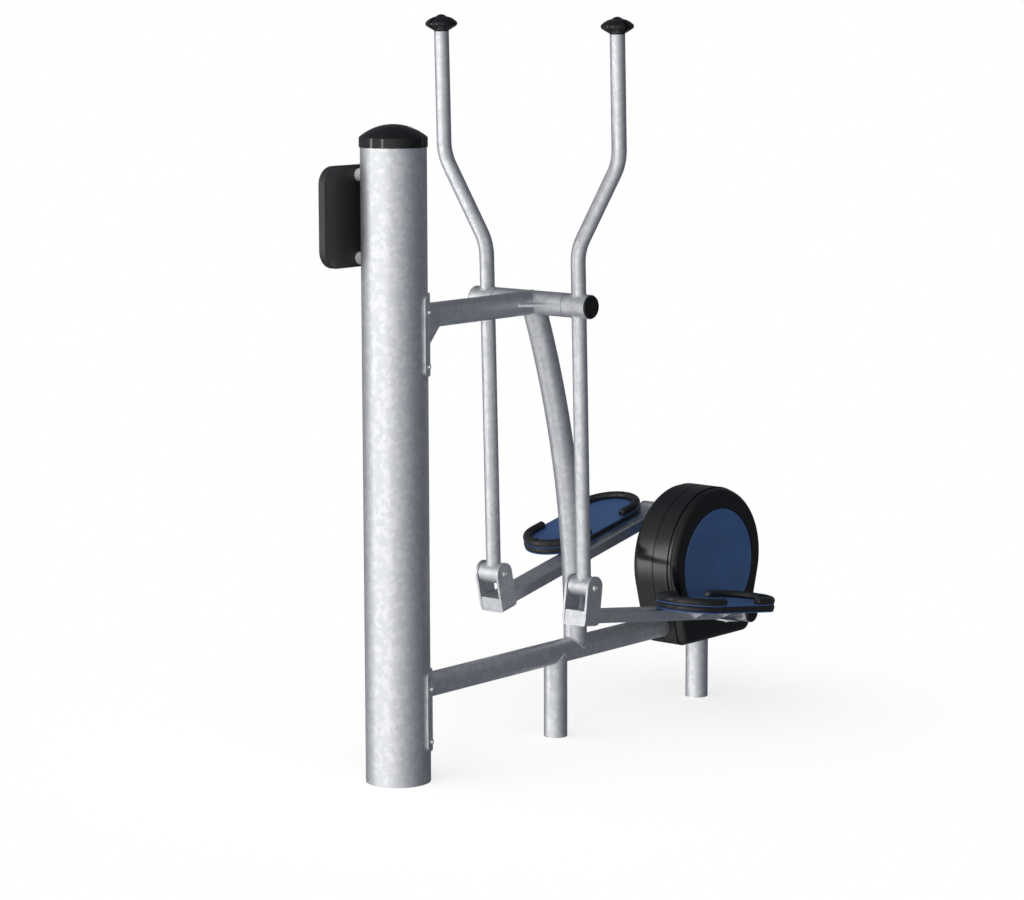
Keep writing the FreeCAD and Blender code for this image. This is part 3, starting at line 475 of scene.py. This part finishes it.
def fastener_shape():
    """Button heads with a hexagon socket, rods and hexagon nuts, each stood at its own point."""
    sh = Shape("fasteners", "Socket", "Crown")
    blank = sh.move(sh.cylinder(36, 1.0, 1.0, 7), (0.0, 0.0, 0.5))
    position = sh.node("GeometryNodeInputPosition")
    x, y, z = [sh.node("ShaderNodeSeparateXYZ", None, {"Vector": position}, output=i)
               for i in range(3)]
    narrow = (1.0 - z * z * sh.size("Crown")) ** 0.5
    domed = sh.node("ShaderNodeCombineXYZ", None, {0: x * narrow, 1: y * narrow, 2: z})
    head = sh.node("GeometryNodeSetPosition", None, {"Geometry": blank, "Position": domed})
    socket = sh.move(sh.cylinder(6, sh.size("Socket"), 1.2), (0.0, 0.0, 1.05))
    head = sh.combine("DIFFERENCE", head, socket)
    rod = sh.move(sh.cylinder(24, 1.0, 1.0), (0.0, 0.0, 0.5))
    nut = sh.move(sh.cylinder(6, 1.0, 1.0), (0.0, 0.0, 0.5))
    ball = sh.node("GeometryNodeMeshUVSphere", None, {"Segments": 36, "Rings": 18})
    nut = sh.combine("INTERSECT", nut, sh.move(ball, (0.0, 0.0, 0.5), nut_rounding))
    facing = sh.named("facing", "FLOAT_VECTOR")
    turn = sh.node("FunctionNodeAlignRotationToVector", {"axis": "Z"}, {"Vector": facing})
    kind = sh.named("kind", "INT")
    placed = []
    for number, piece in enumerate((head, rod, nut)):
        chosen = sh.node("FunctionNodeCompare", {"data_type": "INT", "operation": "EQUAL"},
                         {2: kind, 3: number})
        placed.append(sh.node("GeometryNodeInstanceOnPoints", None, {
            "Points": sh.size("Geometry"), "Selection": chosen, "Instance": piece, "Rotation": turn,
            "Scale": sh.named("size", "FLOAT_VECTOR")}))
    sh.result(sh.join(*placed))
    return sh


def bead_shape():
    """A rippled weld bead along every line of the base."""
    sh = Shape("weld_bead", "Radius", "Pitch", "Ripple")
    curve = sh.node("GeometryNodeMeshToCurve", None, {"Mesh": sh.size("Geometry")})
    step = sh.size("Pitch") / 4.0
    fine = sh.node("GeometryNodeResampleCurve", {"mode": "LENGTH"},
                   {"Curve": curve, "Length": step})
    run = sh.node("GeometryNodeSplineParameter", output="Length")
    ripple = (run * math.tau / sh.size("Pitch")).math("SINE") * sh.size("Ripple") + 1.0
    profile = sh.node("GeometryNodeCurvePrimitiveCircle", None, {
        "Resolution": 8, "Radius": sh.size("Radius")})
    sh.result(sh.node("GeometryNodeCurveToMesh", None, {
        "Curve": fine, "Profile Curve": profile, "Scale": ripple, "Fill Caps": True}))
    return sh


def fastener_places(node):
    """Head and shank of each screw in a CAD node, read from its solids."""
    bm = bmesh.new()
    bm.from_mesh(frame["nodes"][node].data)
    bmesh.ops.remove_doubles(bm, verts=bm.verts, dist=merge_distance)
    left = set(bm.verts)
    entries = []
    while left:
        island, wave = [], [left.pop()]
        while wave:
            vertex = wave.pop()
            island.append(vertex.co[:])
            for edge in vertex.link_edges:
                other = edge.other_vert(vertex)
                if other in left:
                    left.remove(other)
                    wave.append(other)
        entries += screw_from(np.array(island))
    bm.free()
    return entries


def screw_from(points):
    """Head, and shank if there is one, of a screw given by the points of its solid."""
    middle = points.mean(0)
    spread, ways = np.linalg.eigh(np.cov((points - middle).T))
    axis = ways[:, 2] if spread[1] - spread[0] < spread[2] - spread[1] else ways[:, 0]
    along = (points - middle) @ axis
    if np.linalg.norm(points - middle - np.outer(along, axis), axis=1) @ along < 0:
        axis, along = -axis, -along
    tip = points[along < along.min() + end_depth].mean(0)
    along = (points - tip) @ axis
    reach = np.linalg.norm(points - tip - np.outer(along, axis), axis=1)
    seat = along[reach > 0.97 * reach.max()].min()
    shank = reach[along < end_depth].max()
    entries = [(0, tip + axis * seat, axis, (reach.max(), reach.max(), along.max() - seat))]
    if seat > least_shank:
        entries.append((1, tip, axis, (shank, shank, seat)))
    return entries


def fasteners(name, entries, body):
    """One mesh of screws and nuts, each given as kind, place, direction and size."""
    base = bpy.data.meshes.new(name)
    base.from_pydata([tuple(place) for _, place, _, _ in entries], [], [])
    for label, data_type, column, field in (("kind", "INT", 0, "value"),
                                            ("facing", "FLOAT_VECTOR", 2, "vector"),
                                            ("size", "FLOAT_VECTOR", 3, "vector")):
        values = base.attributes.new(label, data_type, "POINT").data
        for row, entry in zip(values, entries):
            setattr(row, field, entry[column] if column == 0 else tuple(entry[column]))
    sizes = {"Socket": socket_share, "Crown": head_crown}
    return grow(name, base, fastener_tree, sizes, materials["stainless"], body)


def make_fasteners():
    for node, body in (("saddle_bolts", "frame"), ("board_screws", "frame"),
                       ("housing_screws", "frame"), ("left_foot_screws", "left_pedal"),
                       ("right_foot_screws", "right_pedal")):
        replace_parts(fasteners(node + "_detailed", fastener_places(node), body), node)
    across = Vector((1.0, 0.0, 0.0))
    for side, way in (("left", 1), ("right", -1)):
        pivot = Vector((way * lever_x, *pivot_line))
        ear = fork_half_gap + fork_thickness
        nut_end = pivot - across * (ear + pivot_nut[1])
        bolt = [(0, pivot + across * ear, across, (pivot_head[0], pivot_head[0], pivot_head[1])),
                (1, nut_end, across, (thread_radius, thread_radius, 2 * ear + pivot_nut[1])),
                (1, pivot - across * fork_half_gap, across,
                 (shoulder_radius, shoulder_radius, 2 * fork_half_gap)),
                (2, nut_end, across, (pivot_nut[0], pivot_nut[0], pivot_nut[1]))]
        made = fasteners(side + "_pivot_bolt_detailed", bolt, side + "_pedal")
        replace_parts(made, side + "_pivot_bolt")


def round_section(way, radius, count=ring_steps):
    """Points of a tube's section, square to the way it runs."""
    first = way.orthogonal().normalized()
    second = way.cross(first)
    turns = [math.tau * i / count for i in range(count)]
    return [(first * math.cos(turn) + second * math.sin(turn)) * radius for turn in turns]


def meeting_line(start, way, section, axis_point, axis, radius):
    """Where a tube of a section, run from a start, first meets a round tube."""
    line = []
    for offset in section:
        beside = start + offset - axis_point
        beside = beside - axis * beside.dot(axis)
        run = way - axis * way.dot(axis)
        a, b, c = run.dot(run), 2 * beside.dot(run), beside.dot(beside) - radius * radius
        reach = (-b - math.sqrt(max(b * b - 4 * a * c, 0.0))) / (2 * a)
        line.append(start + offset + way * reach)
    return line


def bead_lines(name, lines, body, stand=None):
    """Weld beads along lines, each given as points and whether it is closed."""
    verts, edges = [], []
    for points, closed in lines:
        first = len(verts)
        verts += [stand @ point if stand else point for point in points]
        edges += [(first + i, first + i + 1) for i in range(len(points) - 1)]
        if closed:
            edges.append((len(verts) - 1, first))
    base = bpy.data.meshes.new(name)
    base.from_pydata([tuple(v) for v in verts], edges, [])
    sizes = {"Radius": bead_radius, "Pitch": bead_pitch, "Ripple": bead_ripple}
    grow(name, base, bead_tree, sizes, materials["galvanised"], body,
         bead_sharp)


def make_welds():
    x_way, y_way, z_way = Vector((1, 0, 0)), Vector((0, 1, 0)), Vector((0, 0, 1))
    axle = Vector((0, axle_y, upper_tube_z))
    beam = Vector((0, 0, lower_tube_z))
    lean = Vector((0, -math.sin(down_tube_lean), math.cos(down_tube_lean)))
    lines = []
    for start, way, point, axis, radius in (
            (Vector((0, 0.3, upper_tube_z)), -y_way, Vector(), z_way, saddle_radius),
            (Vector((0, 0.3, lower_tube_z)), -y_way, Vector(), z_way, saddle_radius),
            (Vector((0, 0.3, upper_tube_z)), y_way, axle, x_way, tube_radius),
            (axle - lean * 0.1, lean, axle, x_way, tube_radius),
            (Vector((0, down_tube_foot_y, 0.3)), -z_way, beam, y_way, tube_radius),
            (Vector((0, front_leg_y, 0.05)), z_way, beam, y_way, tube_radius)):
        section = round_section(way, tube_radius)
        lines.append((meeting_line(start, way, section, point, axis, radius), True))
    bead_lines("frame_welds", lines, "frame")

    for side, way in (("left", 1), ("right", -1)):
        stand = Matrix.Translation(axle) @ Matrix.Rotation(lever_tilt, 4, "X")
        x = way * lever_x
        top, foot = Vector((x, 0, 0.1)), Vector((x, 0, -0.1))
        sleeve = Vector((0, 0, -lever_length))
        lines = []
        for start, run, point, radius in ((top, -z_way, Vector(), tube_radius),
                                          (foot, z_way, Vector(), tube_radius),
                                          (foot, -z_way, sleeve, fork_sleeve_radius)):
            ring = meeting_line(start, run, round_section(run, lever_radius), point, x_way, radius)
            lines.append((ring, True))
        bead_lines(side + "_lever_welds", lines, side + "_lever", stand)

        pitch = arm_pitch(way)
        stand = Matrix.Translation(Vector((0, *pivot_line))) @ Matrix.Rotation(pitch, 4, "X")
        hub = Vector((0, pin_reach, -arm_drop))
        corners = [Vector((x + a * arm_half_width, 0, -arm_drop + b * arm_half_height))
                   for a, b in ((-1, -1), (1, -1), (1, 1), (-1, 1))]
        section = []
        for first, last in zip(corners, corners[1:] + corners[:1]):
            section += [first.lerp(last, i / side_steps) for i in range(side_steps)]
        lines = [(meeting_line(Vector(), y_way, section, hub, x_way, pin_hub_radius), True)]
        face = way * (lever_x + arm_half_width)
        low, high = -arm_drop - 0.6 * arm_half_height, -arm_drop + arm_half_height
        for u in web_places:
            for v in (u - web_half, u + web_half):
                lines.append(([Vector((face, v, low)), Vector((face, v, high))], False))
        bead_lines(side + "_pedal_welds", lines, side + "_pedal", stand)


def make_blank_plate():
    """The plain metal plate on the information board's front."""
    width, height = (side / 2 - plate_corner for side in plate_size)
    outline = []
    for quarter, (sy, sz) in enumerate(((1, 1), (-1, 1), (-1, -1), (1, -1))):
        for step in range(corner_steps + 1):
            turn = math.radians(90 * quarter + 90 * step / corner_steps)
            outline.append((plate_face_x, sy * width + plate_corner * math.cos(turn),
                            plate_middle_z + sz * height + plate_corner * math.sin(turn)))
    bm = bmesh.new()
    face = bm.faces.new([bm.verts.new(point) for point in outline])
    front = bmesh.ops.extrude_face_region(bm, geom=[face])["geom"]
    front = [item for item in front if isinstance(item, bmesh.types.BMVert)]
    bmesh.ops.translate(bm, verts=front, vec=(-plate_thickness, 0, 0))
    rim = [edge for edge in bm.edges if all(vertex in front for vertex in edge.verts)]
    bmesh.ops.bevel(bm, geom=rim, offset=plate_bevel, segments=2, affect="EDGES")
    bmesh.ops.recalc_face_normals(bm, faces=bm.faces)
    mesh = bpy.data.meshes.new("blank_plate")
    bm.to_mesh(mesh)
    bm.free()
    mesh.materials.append(plain_metal("plate_metal", plate_grey, 0.42, 60.0))
    plate = mesh_object("blank_plate", mesh)
    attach(plate, "frame")


def make_gap_seals():
    """Rubber lip seals inside the housing, which close the gaps round the turning discs."""
    turns = [math.tau * i / seal_steps for i in range(seal_steps)]
    for side, way in (("left", 1), ("right", -1)):
        bm = bmesh.new()
        rings = []
        for radius, x in seal_profile:
            ring = [(way * x, crank_y + radius * math.cos(t), crank_z + radius * math.sin(t))
                    for t in turns]
            rings.append([bm.verts.new(point) for point in ring])
        for first, last in zip(rings, rings[1:] + rings[:1]):
            for i in range(seal_steps):
                j = (i + 1) % seal_steps
                bm.faces.new((first[i], first[j], last[j], last[i]))
        bmesh.ops.recalc_face_normals(bm, faces=bm.faces)
        mesh = bpy.data.meshes.new(side + "_gap_seal")
        bm.to_mesh(mesh)
        bm.free()
        mesh.materials.append(materials["black_rubber"])
        mesh.shade_smooth()
        mesh.set_sharp_from_angle(angle=math.radians(seal_sharp))
        seal = mesh_object(side + "_gap_seal", mesh)
        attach(seal, "frame")


def soften(node, body, width):
    """A moulded part with the sharp edges of its solid rounded over."""
    bm = bmesh.new()
    bm.from_mesh(frame["nodes"][node].data)
    bmesh.ops.remove_doubles(bm, verts=bm.verts, dist=merge_distance)
    bmesh.ops.dissolve_limit(bm, angle_limit=math.radians(0.5), verts=bm.verts, edges=bm.edges)
    sharp = [edge for edge in bm.edges
             if edge.is_manifold and edge.calc_face_angle() > math.radians(shell_sharp)]
    bmesh.ops.bevel(bm, geom=sharp, offset=width, segments=2, profile=0.5, affect="EDGES",
                    clamp_overlap=True)
    bmesh.ops.triangulate(bm, faces=bm.faces)
    mesh = bpy.data.meshes.new(node + "_softened")
    bm.to_mesh(mesh)
    bm.free()
    mesh.materials.append(frame["nodes"][node].data.materials[0])
    mesh.shade_smooth()
    made = mesh_object(node + "_softened", mesh)
    made.modifiers.new("even_light", "WEIGHTED_NORMAL").weight = 100
    evaluated = made.evaluated_get(bpy.context.evaluated_depsgraph_get())
    result = bpy.data.meshes.new_from_object(evaluated)
    made.modifiers.clear()
    made.data = result
    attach(made, body)
    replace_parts(made, node)


def arm_pitch(way):
    """How far a pedal arm tips, from the fork pivots to the crank pin on its side."""
    pin_y = crank_y + way * crank_radius * to_crank[1] / crank_reach
    pin_z = crank_z - way * crank_radius * to_crank[0] / crank_reach
    rise = math.atan2(pin_z - pivot_line[1], pin_y - pivot_line[0])
    return rise + math.asin(arm_drop / coupler)


# Where the fork pivots and the crank stand to each other: y and z
pivot_line = (axle_y + lever_length * math.sin(lever_tilt),
              upper_tube_z - lever_length * math.cos(lever_tilt))
to_crank = (crank_y - pivot_line[0], crank_z - pivot_line[1])
crank_reach = math.hypot(*to_crank)
coupler = math.hypot(crank_reach, crank_radius)
pin_reach = math.sqrt(coupler ** 2 - arm_drop ** 2)

materials = {
    "galvanised": galvanised_steel(),
    "machined_steel": plain_metal("machined_steel", machined_grey, 0.35, 220.0),
    "stainless": plain_metal("stainless_steel", stainless_grey, 0.2, 400.0),
    "black_plastic": moulded("black_plastic", black_plastic, 0.2, 2600.0, 0.00002),
    "black_rubber": moulded("black_rubber", black_rubber, 0.3, 1800.0, 0.00006),
    "blue_plastic": moulded("blue_laminate", blue_laminate, 0.5, 2200.0, 0.00008),
    "white_plastic": moulded("white_nylon", white_nylon, 0.45, 1500.0, 0.00005),
}

polished = moulded("polished_plastic", black_plastic, 0.09, 2600.0, 0.00001)
own_finish = {"post_cap": polished, "left_knob": polished, "right_knob": polished,
              "info_board": moulded("board_plastic", board_black, 0.4, 900.0, 0.00008)}

for part in frame["record"]["subparts"]:
    node = frame["nodes"][part["node"]]
    node.data.materials.clear()
    node.data.materials.append(own_finish.get(part["node"], materials[part["material_slot"]]))

fastener_tree = fastener_shape()
bead_tree = bead_shape()
make_fasteners()
make_welds()
make_blank_plate()
make_gap_seals()
for shell in ("housing_left_shell", "housing_right_shell"):
    soften(shell, "frame", shell_rounding)
make_floor()
make_camera()
studio_world()
make_softboxes()

scene = bpy.context.scene
scene.view_settings.view_transform = "Standard"
